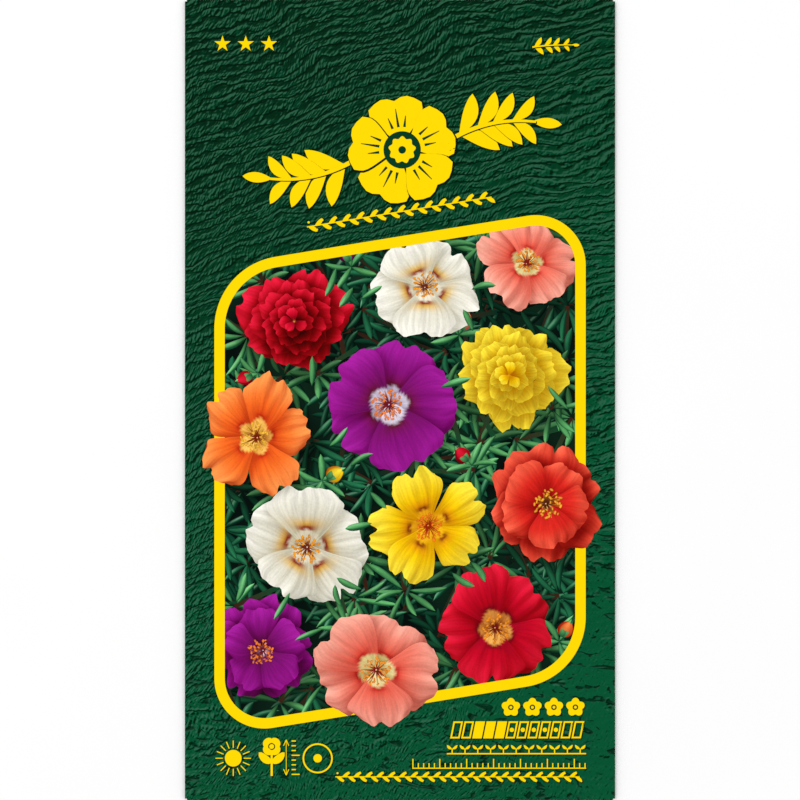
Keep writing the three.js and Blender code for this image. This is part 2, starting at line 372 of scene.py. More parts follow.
def glue_material():
    """Dried paste: milky and uneven."""
    nodes = Nodes("dried_paste")
    colour = nodes.mottle((226, 214, 182), (245, 238, 218), size=2.5, detail=3)
    return nodes.varnished(colour, roughness=0.45, fibre=0.02)


def film_material():
    """The sachet's laminate: white, dull, with the fine pimples of a heat seal."""
    nodes = Nodes("sachet_laminate")
    tint = nodes.mottle((236, 235, 228), (248, 247, 242), size=8)
    colour = nodes.mix(nodes.place.knobs(0.8).ramp(0, 0.6, 0.25, 0), tint, srgb(205, 203, 195))
    return nodes.varnished(colour, roughness=0.55, fibre=0.03)


def seed_material():
    """Steel-grey seed coats, set with tiny knobs."""
    nodes = Nodes("seed_coats")
    coat = nodes.mottle((66, 62, 66), (122, 116, 118), size=0.9)
    colour = nodes.mix(nodes.place.knobs(0.12).ramp(0.1, 0.6), coat, srgb(34, 31, 34))
    return nodes.varnished(colour, roughness=0.42, fibre=0.03)


def dress_the_inside():
    """Materials for the solids that stay as they are, inside the paper."""
    for material, names in ((glue_material(), ("seam_glue", "top_flap_glue", "bottom_flap_glue")),
                            (film_material(), ("sachet_back", "sachet_front")),
                            (seed_material(), ("seeds",))):
        for name in names:
            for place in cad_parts[name].material_slots:
                place.material = material


# ------------------------------------------------------------------------------ the folded sheet
PANEL_POINTS, FOLD_POINTS, FLAP_POINTS = 20, 11, 9  # across a panel, round a fold, down a flap
PANEL_STARTS = (0.6, 0.4)  # from the side edges to where the left and right panels are flat
SHEET_ROWS = 101
FREE_CORNER, FREE_SIZE = (0.01, 0.94), (0.20, 0.05)  # where the sheet's map for baking has room left
FRONT_COLUMNS = np.linspace(-(WIDTH / 2 - FLAP_INSET), WIDTH / 2 - FLAP_INSET, 53)
FRONT = slice(PANEL_POINTS + FOLD_POINTS, PANEL_POINTS + FOLD_POINTS + len(FRONT_COLUMNS))


def sheet_section(y):
    """The sheet's outer face across the packet, from the left panel's free edge round the front to
    the right panel's: x, z and the length along the paper at each point. FRONT is where the front's
    points are."""
    turn = np.linspace(0, math.pi, FOLD_POINTS)
    left = np.linspace(SEAM, PANEL_STARTS[0] - WIDTH / 2, PANEL_POINTS)
    right = np.linspace(WIDTH / 2 - PANEL_STARTS[1], -SEAM, PANEL_POINTS)
    xs = np.concatenate([left, LEFT_FOLD * (1 - np.sin(turn)) - WIDTH / 2, FRONT_COLUMNS,
                         WIDTH / 2 - RIGHT_FOLD * (1 - np.sin(turn)), right])
    zs = np.concatenate([0 * left + LEFT_PANEL, LEFT_PANEL + LEFT_FOLD * (1 - np.cos(turn)),
                         front_height(FRONT_COLUMNS, y) - SHEET_DROP,
                         FLAT_TOP - RIGHT_FOLD * (1 - np.cos(turn)), 0 * right + RIGHT_PANEL])
    run = np.concatenate([[0], np.cumsum(np.hypot(np.diff(xs), np.diff(zs)))])
    return xs, zs, run


def flap_lines(length):
    """Lines across an end flap, from the start of its fold to its free edge: y, z, the length along
    the paper, and the share of the way down the flap."""
    for turn in np.linspace(0, math.pi, FOLD_POINTS)[1:]:
        yield END + END_FOLD * math.sin(turn), END_FOLD + END_FOLD * math.cos(turn), END_FOLD * turn, 0.0
    for share in np.linspace(0, 1, FLAP_POINTS)[1:]:
        y = END + (HEIGHT / 2 - length - END) * share
        yield y, 0.0, END_FOLD * math.pi + END - y, share


def folded_sheet():
    """The whole sheet as one skin of the outer face, which a Solidify modifier gives its thickness."""
    ends = -END, END
    points, unrolled, index, faces = [], [], [], []
    for y in np.linspace(*ends, SHEET_ROWS):
        xs, zs, run = sheet_section(y)
        if y in ends:
            zs[FRONT] = FLAT_TOP
        index.append(list(range(len(points), len(points) + len(xs))))
        points += [(x, y, z) for x, z in zip(xs, zs)]
        unrolled += [(u, y) for u in run]

    def skin(grid):
        for upper, lower in zip(grid[1:], grid[:-1]):
            for k in range(len(upper) - 1):
                faces.append((lower[k], lower[k + 1], upper[k + 1], upper[k]))

    skin(index)
    for end, length, root in ((1, TOP_FLAP, index[-1][FRONT]), (-1, BOTTOM_FLAP, index[0][FRONT])):
        grid = [root]
        for y, z, run, share in flap_lines(length):
            narrowing = 1 - share * FLAP_TAPER / FRONT_COLUMNS[-1]
            grid.append(list(range(len(points), len(points) + len(root))))
            points += [(x * narrowing, end * y, z) for x in FRONT_COLUMNS]
            unrolled += [(unrolled[start][0], end * (END + run)) for start in root]
        skin(grid if end > 0 else grid[::-1])

    unrolled = np.array(unrolled)
    places = (unrolled - unrolled.min(0)) / np.ptp(unrolled, axis=0)
    sheet = new_piece("packet_sheet", points, faces, places, (ground_material(), bare_paper_material()))
    solid = sheet.modifiers.new("thickness", "SOLIDIFY")
    solid.thickness = PAPER * MM
    solid.offset = -1
    solid.material_offset = solid.material_offset_rim = 1
    with bpy.context.temp_override(object=sheet):
        bpy.ops.object.modifier_apply(modifier=solid.name)
    sheet.data.polygons.foreach_set("use_smooth", [True] * len(sheet.data.polygons))
    squeeze_inner_faces(sheet.data)
    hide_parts("packet_paper")


def squeeze_inner_faces(mesh):
    """Moves the unprinted faces to a corner of the map that the printed ones leave free."""
    layer = mesh.uv_layers["OFBake"]
    corners = np.empty(len(mesh.loops) * 2, np.float32)
    layer.uv.foreach_get("vector", corners)
    corners = corners.reshape(-1, 2)
    inner = np.repeat([polygon.material_index == 1 for polygon in mesh.polygons],
                      [polygon.loop_total for polygon in mesh.polygons])
    corners[inner] = FREE_CORNER + corners[inner] * FREE_SIZE
    layer.uv.foreach_set("vector", corners.ravel())


# ------------------------------------------------------------------------------------- printing
GROUND, PICTURE, YELLOW = range(3)  # material indices of a print
CELL = 0.5  # size of the squares in which a print counts its layers
OUTLINE_SPACING = 1.2  # between the points of an outline

GROUND_INK, YELLOW_INK = srgb(0, 0, 0), srgb(255, 221, 0)  # each has a material of its own instead
SHADOW_INK, GREEN_INK = srgb(2, 28, 15), srgb(5, 58, 34)


class Outline:
    """A closed convex outline with straight sides and rounded corners, given anticlockwise."""

    def __init__(self, corners, radii):
        corners = np.array(corners, float)
        arcs = []
        for k, (corner, radius) in enumerate(zip(corners, radii)):
            back = unit(corners[k - 1] - corner)
            ahead = unit(corners[(k + 1) % len(corners)] - corner)
            half = math.acos(back @ ahead) / 2
            centre = corner + unit(back + ahead) * radius / math.sin(half)
            start = corner + back * radius / math.tan(half) - centre
            turn = math.pi - 2 * half
            steps = max(2, int(radius * turn / OUTLINE_SPACING * 2))
            arcs.append([centre + rotate(start, turn * i / steps) for i in range(steps + 1)])
        points = []
        for arc, following in zip(arcs, arcs[1:] + arcs[:1]):
            steps = int(np.linalg.norm(following[0] - arc[-1]) / OUTLINE_SPACING) + 1
            points += [*arc, *np.linspace(arc[-1], following[0], steps + 1)[1:-1]]
        self.points = np.array(points)
        self.outward = -leftward(unit(np.roll(self.points, -1, 0) - np.roll(self.points, 1, 0)))

    def tuck(self, grid):
        """The grid with each point outside the outline moved onto it, and which those are."""
        flat = grid.reshape(-1, 2)
        away, left = from_sides(flat, self.points)
        outside = (left < 0).any(1)
        nearest = np.linalg.norm(away, axis=2).argmin(1)
        moved = flat - np.where(outside[:, None], away[np.arange(len(flat)), nearest], 0)
        return moved.reshape(grid.shape), outside.reshape(grid.shape[:2])

    def span(self, x):
        """The lowest and highest y of the outline at x."""
        found = []
        for p, q in zip(self.points, np.roll(self.points, -1, 0)):
            if min(p[0], q[0]) <= x < max(p[0], q[0]):
                found.append(p[1] + (q[1] - p[1]) * (x - p[0]) / (q[0] - p[0]))
        return min(found), max(found)


class Print:
    """Flat shapes printed on a face of the packet, each a layer above the ones that it overlaps."""

    def __init__(self, surface, up):
        self.surface, self.up = surface, up
        self.points, self.levels, self.inks, self.grains = [], [], [], []
        self.faces, self.kinds = [], []
        self.total = 0
        self.counts = np.zeros((int(WIDTH / CELL) + 4, int(HEIGHT / CELL) + 4), int)
        self.region = None  # the outline that shapes are cut off at
        self.figure, self.figure_shadow = YELLOW_INK, SHADOW_INK

    def layer(self, points):
        """The level for a shape with these points, counted on a grid of squares."""
        cells = ((points + TO_CORNER) / CELL + 1).astype(int)
        i, j = np.unique(np.clip(cells, 1, np.array(self.counts.shape) - 2), axis=0).T
        level = 1 + max(self.counts[i + di, j + dj].max() for di in (-1, 0, 1) for dj in (-1, 0, 1))
        self.counts[i, j] = level
        return level

    def above_all(self, levels=1):
        """Puts what follows above everything so far, by as many levels. Large faces need this, because
        only their corners are counted, and they don't follow the swell as closely as small ones."""
        self.counts[:] = self.counts.max() + levels

    def paint(self, grid, ink, grain=(0, 0, 0)):
        """Prints a shape given as rows of points. Where a row is one point repeated, it is a tip."""
        rows, columns = grid.shape[:2]
        kind = GROUND if ink is GROUND_INK else YELLOW if ink is YELLOW_INK else PICTURE
        outside = np.zeros((rows, columns), bool)
        if self.region is not None:
            grid, outside = self.region.tuck(grid)
            if outside.all():
                return
        ids = np.arange(rows * columns).reshape(rows, columns)
        for row in (0, -1):
            if np.ptp(grid[row], axis=0).max() < 1e-9:
                ids[row] = ids[row, 0]
        quads = np.stack([ids[:-1, :-1], ids[1:, :-1], ids[1:, 1:], ids[:-1, 1:]], -1).reshape(-1, 4)
        quads = quads[~outside.ravel()[quads].all(1)]
        used, quads = np.unique(quads, return_inverse=True)
        quads = quads.reshape(-1, 4)
        flat = grid.reshape(-1, 2)[used]
        p = flat[quads]
        flip = cross(p[:, 2] - p[:, 0], p[:, 3] - p[:, 1]) * self.up < 0
        quads[flip] = quads[flip, ::-1]
        level = self.layer(flat) if self.total else 0
        self.points.append(flat)
        self.levels.append(np.full(len(flat), level))
        for values, printed in ((ink, self.inks), (grain, self.grains)):
            printed.append(np.broadcast_to(values, (rows, columns, 3)).reshape(-1, 3)[used])
        self.faces += [tuple(dict.fromkeys(quad)) for quad in (quads + self.total).tolist()]
        self.kinds += [kind] * len(quads)
        self.total += len(flat)

    def finish(self, name, materials):
        """The printed shapes as one piece."""
        flat = np.concatenate(self.points)
        z = self.surface(flat[:, 0], flat[:, 1]) + self.up * np.concatenate(self.levels) * INK_LEVEL
        places = (flat + TO_CORNER) / (WIDTH, HEIGHT)
        mesh = new_piece(name, np.column_stack([flat, z]), self.faces, places, materials).data
        inks = np.column_stack([np.concatenate(self.inks), np.ones(len(flat))])
        mesh.attributes.new("ink", "FLOAT_COLOR", "POINT").data.foreach_set("color", inks.ravel())
        grains = np.concatenate(self.grains)
        mesh.attributes.new("grain", "FLOAT_VECTOR", "POINT").data.foreach_set("vector", grains.ravel())
        mesh.polygons.foreach_set("material_index", self.kinds)
        mesh.polygons.foreach_set("use_smooth", [True] * len(self.faces))


def ground(press):
    """The green ground, out to the folds. At the corners it ends where the side folds do."""
    beside_fold = np.array([0.05, 0.12, 0.22, 0.35])  # lines close together, where the ink bends
    inner, upper = WIDTH / 2 - FLAP_INSET, 73.9  # the last of the lines that are evenly spaced
    heights, middle = np.linspace(-upper, upper, 149), np.linspace(-inner, inner, 79)
    to_ends = np.concatenate([beside_fold - HEIGHT / 2, heights, HEIGHT / 2 - beside_fold[::-1]])
    to_corners = np.concatenate([[-END], heights, [END]])
    side = np.concatenate([[inner], WIDTH / 2 - beside_fold[::-1]])
    for columns, rows in ((middle, to_ends), (side, to_corners), (-side[::-1], to_corners)):
        press.paint(np.stack(np.meshgrid(columns, rows), -1), GROUND_INK)
    press.above_all(CLEARANCE)


# ---------------------------------------------------------------------------- plain flat shapes
def disc(centre, radius, steps=24, start=0.0):
    """A round or star-like shape, as a row of its middle and a row of its rim. radius may be a
    function of the angle."""
    angles = np.linspace(0, 2 * math.pi, steps + 1) + start
    reach = radius(angles) if callable(radius) else np.full(len(angles), radius)
    rim = np.stack([np.cos(angles), np.sin(angles)], 1) * reach[:, None]
    return np.array(centre) + np.stack([rim * 0, rim])


def ribbon(path, widths):
    """A strip along a path, with a width at each of its points."""
    path = np.array(path, float)
    aside = leftward(unit(np.gradient(path, axis=0))) * np.broadcast_to(widths, len(path))[:, None] / 2
    return np.stack([path - aside, path + aside])


def ring(centre, radius, width):
    return np.stack([disc(centre, radius + edge, 40)[1] for edge in (-width / 2, width / 2)])


def leaf(base, tip, width, bend=0.0, rows=9, columns=5, fullest=0.5, slender=0.75):
    """A leaf from base to tip. fullest is where along it is widest. The lower slender is, the more
    even is its width."""
    s, t = net(rows, columns)
    base, ahead = np.array(base, float), np.subtract(tip, base)
    length = np.linalg.norm(ahead)
    rise = math.log(0.5) / math.log(fullest)
    half = width / 2 * np.sin(math.pi * s**rise) ** slender
    curve = bend * length * 4 * s * (1 - s)
    return base + s[..., None] * ahead + (half * t + curve)[..., None] * (leftward(ahead) / length)


def bar(start, end, width):
    """A straight strip."""
    pieces = max(1, int(np.linalg.norm(np.subtract(end, start))))
    return ribbon(np.linspace(start, end, pieces + 1), width)


# ------------------------------------------------------------------------------ the picture
LIGHT = np.array([-0.42, 0.50, 0.76])  # where the light in the picture comes from
SHADOW_SHIFT = np.array([0.25, -0.35])  # how far a shadow in the picture falls from its petal

FLOWER_PARTS = ("body", "rim", "deep", "throat", "smudge", "halo", "thread", "dust")
FLOWER_INKS = {
    "red": ((200, 8, 38), (226, 26, 54), (140, 4, 28), (240, 172, 84),
            (130, 4, 26), (190, 6, 30), (120, 20, 20), (250, 150, 40)),
    "scarlet": ((230, 44, 34), (246, 92, 66), (180, 16, 20), (246, 196, 104),
                (190, 16, 16), (228, 50, 30), (90, 30, 20), (252, 176, 50)),
    "purple": ((132, 16, 118), (158, 26, 146), (88, 12, 62), (206, 196, 214),
               (96, 18, 44), (120, 16, 88), (120, 20, 40), (250, 130, 50)),
    "yellow": ((250, 206, 8), (255, 228, 58), (226, 150, 0), (250, 186, 24),
               (140, 56, 12), (240, 160, 6), (170, 40, 10), (252, 130, 30)),
    "white": ((226, 221, 202), (240, 237, 224), (188, 184, 156), (228, 218, 192),
              (140, 26, 16), (226, 176, 50), (120, 40, 20), (250, 160, 40)),
    "orange": ((238, 100, 32), (250, 140, 68), (204, 58, 14), (250, 190, 90),
               (186, 36, 10), (226, 76, 20), (130, 30, 10), (253, 190, 60)),
    "salmon": ((238, 124, 104), (247, 164, 144), (222, 80, 60), (232, 214, 150),
               (196, 34, 30), (234, 90, 70), (140, 24, 24), (252, 150, 44)),
}
GLOW = {"yellow": 0.45, "white": 0.30, "salmon": 0.20, "orange": 0.15}  # light through the petals


def flower_inks(name):
    return {part: srgb(*ink) for part, ink in zip(FLOWER_PARTS, FLOWER_INKS[name])}


def blend(first, second, share):
    return first + (second - first) * share[..., None]


def shaded(ink, light):
    """An ink under more or less light. In the shade it grows deeper in colour, not only darker."""
    pure = 1 - ink / (ink.max(axis=-1, keepdims=True) + 1e-6)
    return ink * light[..., None] ** (1 + 1.3 * pure)


def daylight(grid, covers, shift, share, soft, depth):
    """The light that reaches points beside or below the blossoms that are printed over them later.
    share is how much of each blossom's radius its shadow has, and soft how far the shadow fades."""
    light = np.ones(grid.shape[:2])
    for spot, radius in covers:
        gap = np.linalg.norm(grid - spot - SHADOW_SHIFT * shift, axis=-1) - share * radius
        light = light * (1 - depth * ramp(soft, -0.5, gap))
    return light


def distance_to(points, line):
    """Distance from each point to a closed line, 0 inside it."""
    away, left = from_sides(points, line)
    below = line[:, 1] <= points[:, 1:2]
    below_end = np.roll(below, -1, 1)
    winding = (below & ~below_end & (left > 0)).sum(1) - (~below & below_end & (left < 0)).sum(1)
    return np.where(winding != 0, 0, np.linalg.norm(away, axis=2).min(1))


class Petal:
    """One petal of a blossom: its points on the paper, its light, and where on it they lie."""

    def __init__(self, random, reach, width, angle, cup, ruffle, notch, shape):
        self.s, self.t = s, t = net(*shape)
        breadth = 0.13 + 0.87 * np.sin(math.pi / 2 * np.minimum(1, s / 0.80)) ** 1.25
        breadth = breadth * (1 - 0.14 * ramp(0.80, 1, s))
        swing = random.uniform(0, 2 * math.pi, 6)
        dent = random.uniform(-0.22, 0.22)
        frill = 0.024 * np.sin(4.4 * t + swing[0]) + 0.016 * np.sin(9.5 * t + swing[1])
        frill = frill + 0.009 * np.sin(19 * t + swing[2])
        edge = 1 - random.uniform(0.15, 0.24) * np.abs(t) ** random.uniform(2.2, 3.2)
        edge = edge - notch * np.exp(-((t - dent) / 0.15) ** 2) + ruffle * frill
        ahead = reach * s * (1 - (1 - edge) * s**1.5)
        side = width / 2 * breadth * t * (1 + 0.045 * ruffle * np.sin(8 * s + swing[3] + t))
        side = side + reach * random.uniform(-0.07, 0.07) * s**2
        height = cup * (0.62 * s - 0.46 * s**2) - random.uniform(0.08, 0.22) * t**2 * breadth * s
        height = height - 0.040 * np.exp(-((t - dent * s) / 0.12) ** 2) * s**1.5
        height = height + 0.040 * ruffle * s**3 * np.sin(5.5 * t + swing[4])
        height = height + 0.020 * ruffle * s**2 * np.sin(13 * t + 2 * s + swing[5])
        flat = rotate(np.stack([ahead, side], -1), angle)
        self.solid = np.concatenate([flat, reach * height[..., None]], -1)

    def place(self, turn, centre):
        """Turns the petal in space, lays it on the paper at centre and lights it."""
        solid = self.solid @ turn.T
        self.grid = centre + solid[..., :2]
        along, across = np.gradient(solid, axis=0), np.gradient(solid, axis=1)
        normal = np.cross(along, across)
        normal /= np.linalg.norm(normal, axis=2)[..., None] + 1e-12
        normal *= np.sign(normal[..., 2:] + 1e-12)
        self.light = 0.42 + 0.80 * np.clip(normal @ LIGHT, 0, 1)
        self.rim = np.concatenate([self.grid[:, 0], self.grid[-1, 1:], self.grid[-2::-1, -1]])

    def shade(self, other, depth, reach):
        """Darkens this petal beside the edge of one that lies over it."""
        distance = distance_to(self.grid.reshape(-1, 2), other.rim + SHADOW_SHIFT * reach)
        shadow = depth * np.exp(-(distance / (0.9 * reach)) ** 2)
        self.light = self.light * (1 - shadow).reshape(self.light.shape)

    def ink(self, name, throat, smudge):
        """Colours from the throat to the rim."""
        s, t, inks = self.s, self.t, flower_inks(name)
        colour = blend(inks["body"], inks["rim"], ramp(0.55, 1.0, s + 0.10 * np.abs(t)))
        colour = blend(colour, inks["deep"], 0.75 * ramp(0.62, 0.12, s))
        halo = np.exp(-((s - throat - 0.12) / 0.10) ** 2 - (t / 0.62) ** 2)
        colour = blend(colour, inks["halo"], np.clip(smudge * halo, 0, 1))
        blot = np.exp(-((s - throat - 0.05) / 0.055) ** 2 - (t / 0.40) ** 2)
        colour = blend(colour, inks["smudge"], np.clip(smudge * 1.5 * blot, 0, 1))
        lobe = throat * (1.16 - 0.62 * np.abs(t) ** 1.3)
        colour = blend(colour, inks["throat"], ramp(lobe + 0.018, lobe - 0.018, s))
        colour = blend(colour, inks["rim"] * 1.12, 0.5 * ramp(0.955, 1.0, s))
        return shaded(colour, 1 - (1 - self.light) * (1 - GLOW.get(name, 0)))


# forms of blossom: whorls of petals as (count, reach, width, cup, ruffle), the sizes as shares of the
# radius. None is the double form, whose petals grow smaller round a spiral.
SINGLE = ((5, 1.0, 1.02, 0.75, 1.0),)
WIDE = ((5, 1.0, 1.18, 0.60, 0.8),)
STARRY = ((5, 1.0, 0.86, 0.85, 1.1),)
SEMI = ((6, 1.0, 0.92, 0.6, 1.0), (5, 0.76, 0.80, 0.9, 1.2))
DOUBLE = None
DOUBLE_PETALS = 34
GOLDEN_ANGLE = math.pi * (3 - math.sqrt(5))
STAMENS = 34
STAMEN_TURN = 2.39996  # radians from one stamen to the next


def petal_plan(random, form, turn):
    """Each petal of a blossom, from the lowest: whorl, angle, reach, width, cup, ruffle."""
    if form is DOUBLE:
        for k in range(DOUBLE_PETALS):
            share = k / (DOUBLE_PETALS - 1)
            reach = (1 - 0.80 * share**0.85) * random.uniform(0.95, 1.05)
            yield k // 6, turn + GOLDEN_ANGLE * k, reach, reach * 0.86, 0.45 + 1.2 * share, 1.3
        return
    for whorl, (count, reach, width, cup, ruffle) in enumerate(form):
        for k in (np.arange(count) * 2) % count if count % 2 else np.arange(count):
            angle = turn + 2 * math.pi * (k + 0.5 * (whorl % 2) + random.uniform(-0.09, 0.09)) / count
            size = random.uniform(0.90, 1.06)
            yield whorl, angle, reach * size, width * random.uniform(0.90, 1.08), cup, ruffle


def blossom(press, random, plan, covers):
    """Prints one of BLOSSOMS. covers are the blossoms printed over it later."""
    x, y, radius, form, colour, turn, lean, heading = plan
    centre = np.array((x, y))
    single = form is not DOUBLE and len(form) == 1
    tilt = turning(leftward(toward(math.radians(heading))), math.radians(lean))
    petals = []
    for whorl, angle, reach, width, cup, ruffle in petal_plan(random, form, math.radians(turn)):
        size = radius * reach
        shape = (27, 23) if single else (15, 15) if size > 6 else (10, 9)
        notch = random.uniform(0.03, 0.17) if whorl == 0 else 0.05
        petal = Petal(random, size, radius * width, angle, cup, ruffle, notch, shape)
        petal.place(tilt, centre)
        petals.append((whorl, petal))
    reach = radius / 10
    for i, (whorl, petal) in enumerate(petals):
        for above, other in petals[i + 1:]:
            depth, spread = (0.34, 1.0) if above == whorl else (0.50, 1.5)
            petal.shade(other, depth, reach * spread)
        petal.light = petal.light * daylight(petal.grid, covers, 2, 0.86, 2.2, 0.6)
        grain = np.stack([petal.t * 9, petal.s * 1.6, np.full_like(petal.s, i + x)], -1)
        ink = petal.ink(colour, throat=0.27 if single else 0.09, smudge=0.9 if single else 0.0)
        press.paint(petal.grid, ink, grain)
    if form is not DOUBLE:
        stamens(press, random, centre, radius, flower_inks(colour), tilt)


def turning(axis, angle):
    """The matrix that turns places in space about a unit axis in the plane."""
    x, y = axis
    c, n = math.cos(angle), math.sin(angle)
    twist = np.array([[0, 0, y], [0, 0, -x], [-y, x, 0]])
    return np.eye(3) * c + n * twist + (1 - c) * np.outer((x, y, 0), (x, y, 0))


def stamens(press, random, centre, radius, inks, tilt):
    """The threads in a blossom's throat, and their grains of pollen."""
    for k in range(STAMENS):
        angle = STAMEN_TURN * k + random.uniform(-0.2, 0.2)
        reach = radius * (0.07 + 0.17 * math.sqrt((k + 1) / STAMENS) * random.uniform(0.8, 1.1))
        s = np.linspace(0.1, 1, 5)
        turn = angle + random.uniform(-0.35, 0.35) * s
        path = np.stack([np.cos(turn) * s, np.sin(turn) * s, 0.9 * s**0.7], 1) * reach
        strand = ribbon(centre + (path @ tilt.T)[:, :2], np.linspace(0.16, 0.10, 5) * radius / 10)
        press.paint(strand, 0.8 * blend(inks["thread"], inks["dust"], np.broadcast_to(s**3, (2, 5))))
    for k in range(STAMENS):
        angle = STAMEN_TURN * k + random.uniform(-0.3, 0.3)
        reach = radius * (0.05 + 0.19 * math.sqrt((k + 0.5) / STAMENS))
        spot = centre + (tilt @ np.array([*toward(angle), 0.8]) * reach)[:2]
        size, stretch = radius * random.uniform(0.018, 0.028), random.uniform(0, math.pi)
        grain = disc(spot, lambda a: size * (1 + 0.35 * np.cos(2 * (a - stretch))), 8)
        from_middle = np.array([[[1.15]], [[0.72]]])
        light = np.broadcast_to(from_middle * random.uniform(0.75, 1.1), (2, 9, 1))
        press.paint(grain, inks["dust"] * light)


# leaves, from those deep in the bed to those on top of it: tufts, inks of their dark side and their
# lit side, size
LEAF_TIERS = (
    (77, (2, 24, 16), (18, 78, 52), 0.85),
    (71, (4, 42, 28), (40, 122, 80), 0.95),
    (46, (10, 70, 42), (104, 186, 110), 1.0),
)
BED = (-33.66, -60.305), (33.66, 33.505)  # corners of the rectangle that the tufts are spread over
THIN_SPOTS = (  # places that get tufts of their own
    (-16.8, -7.8), (7.6, -45.4), (-31.0, -17.2), (-7.6, 18.6), (9.6, 8.2), (12.6, -52.0),
)


def leaf_in_bed(press, random, base, angle, size, tier, covers=()):
    """One fleshy leaf, round in section and lit along one side."""
    _, dark, lit, _ = tier
    width, (s, t) = random.uniform(1.0, 1.4), net(8, 5)
    tip, bend = base + size * toward(angle), random.uniform(-0.10, 0.10)
    grid = leaf(base, tip, width, bend, *s.shape, fullest=0.55, slender=0.55)
    aside = leftward(toward(angle)) @ LIGHT[:2]
    round_light = np.clip(t * aside + np.sqrt(1 - 0.9 * t**2) * LIGHT[2], 0, 1)
    tone = ramp(0.25, 0.95, round_light) * (0.55 + 0.45 * s)
    gleam = 0.42 * ramp(0.90, 1.0, round_light) * ramp(0.2, 0.6, s)
    ink = blend(srgb(*dark), srgb(*lit), tone) + gleam[..., None] * srgb(150, 190, 160)
    ink = ink * daylight(grid, covers, 3, 0.9, 3.0, 0.72)[..., None]
    grain = np.stack([t * 2, s * 3, np.full_like(s, base[0] + base[1])], -1)
    press.paint(grid, ink * random.uniform(0.8, 1.2), grain)


def tuft(press, random, centre, start, count, tier, covers):
    """A stem with a ring of leaves round its tip."""
    _, dark, _, scale = tier
    stem = np.linspace(centre, centre - 9 * toward(random.uniform(0, 2 * math.pi)), 6)
    stalk = blend(srgb(60, 30, 18), srgb(*dark), np.broadcast_to(np.linspace(0, 1, 6), (2, 6)))
    press.paint(ribbon(stem, 0.9 * scale), stalk)
    for k in range(count):
        angle = start + 2 * math.pi * k / count + random.uniform(-0.3, 0.3)
        base = centre + random.uniform(0.2, 0.9) * toward(angle)
        leaf_in_bed(press, random, base, angle, scale * random.uniform(4.0, 8.6), tier, covers)


def foliage(press, random, covers):
    """The bed of leaves behind the blossoms, in tufts round the tips of the stems."""
    filler = np.random.default_rng(4)
    for tier in LEAF_TIERS:
        for _ in range(tier[0]):
            centre = random.uniform(*BED)
            start, count = random.uniform(0, 2 * math.pi), random.integers(7, 11)
            if all(np.linalg.norm(centre - spot) >= 0.62 * radius for spot, radius in covers):
                tuft(press, random, centre, start, count, tier, covers)
        for spot in THIN_SPOTS if tier is not LEAF_TIERS[-1] else ():
            tuft(press, filler, np.array(spot) + filler.uniform(-2, 2, 2), 0, 9, tier, covers)


def bud(press, random, x, y, direction, size, colour):
    """A closed bud: folded petals in two green bracts, in a tuft of short leaves."""
    base, angle, tier = np.array((x, y)), math.radians(direction), LEAF_TIERS[-1]
    dark, lit = srgb(*tier[1]), srgb(*tier[2])
    for k in range(-2, 3):
        leaf_in_bed(press, random, base - toward(angle), angle + 1.1 * k, size * 1.5, tier)
    s, t = net(11, 7)
    for spread, ink in ((0.28, "deep"), (-0.24, "body"), (0.04, "rim")):
        tip = base + size * toward(angle + spread / 2)
        grid = leaf(base, tip, size * 0.62, spread / 3, *s.shape, fullest=0.42)
        light = 0.62 + 0.5 * s - 0.35 * t * t
        press.paint(grid, shaded(np.broadcast_to(flower_inks(colour)[ink], (*s.shape, 3)), light))
    s, t = net(7, 5)
    for spread in (-0.5, 0.5):
        tip = base + 0.52 * size * toward(angle + spread)
        grid = leaf(base, tip, size * 0.36, -spread / 4, *s.shape, fullest=0.4)
        press.paint(grid, blend(dark, lit, 0.9 * s * (1 - 0.5 * t * t)))


# buds: x, y, direction in degrees, size, colour
BUDS = (
    (11.2, 13.0, 70, 3.6, "salmon"), (-9.4, 25.6, 110, 3.3, "purple"), (-13.6, -14.6, 30, 3.4, "yellow"),
    (12.6, -11.4, 130, 3.2, "red"), (30.0, -44.0, 60, 3.2, "orange"), (-27.4, 4.6, 200, 3.0, "red"),
)

# blossoms: x, y, radius, form, colour, turn, how far it faces away from the viewer, and towards
# where, the last three in degrees
BLOSSOMS = (
    (-19.6, 14.6, 10.9, DOUBLE, "red", 20, 12, 120),
    (4.6, 20.8, 10.4, WIDE, "white", 50, 20, 80),
    (23.4, 25.2, 9.6, SINGLE, "salmon", 10, 26, 60),
    (-2.0, -0.8, 12.0, WIDE, "purple", 75, 10, 200),
    (20.2, 4.6, 11.2, DOUBLE, "yellow", 0, 14, 20),
    (-17.2, -27.2, 11.2, WIDE, "white", 15, 16, 250),
    (5.2, -23.2, 10.9, STARRY, "yellow", 33, 14, 300),
    (-25.4, -46.4, 10.2, SEMI, "purple", 60, 18, 220),
    (17.6, -42.2, 11.4, SINGLE, "red", 45, 12, 320),
    (-26.4, -7.0, 11.4, STARRY, "orange", 5, 18, 170),
    (27.0, -19.2, 11.4, SEMI, "scarlet", 25, 14, 350),
    (-4.4, -50.0, 11.5, WIDE, "salmon", 58, 12, 270),
)
OVER_FRAME = 9  # the first of the blossoms that are printed over the frame

# leaves that reach over the rims of blossoms: the blossom's number, and the direction in degrees in
# which the leaf's root lies from its middle
LEAVES_OVER_BLOSSOMS = (
    (0, 30), (0, 52), (0, 285), (1, 190), (1, 318), (2, 205), (3, 215), (3, 238), (4, 190), (4, 330),
    (5, 20), (5, 300), (5, 322), (6, 150), (7, 65), (7, 20), (8, 110), (8, 128),
)

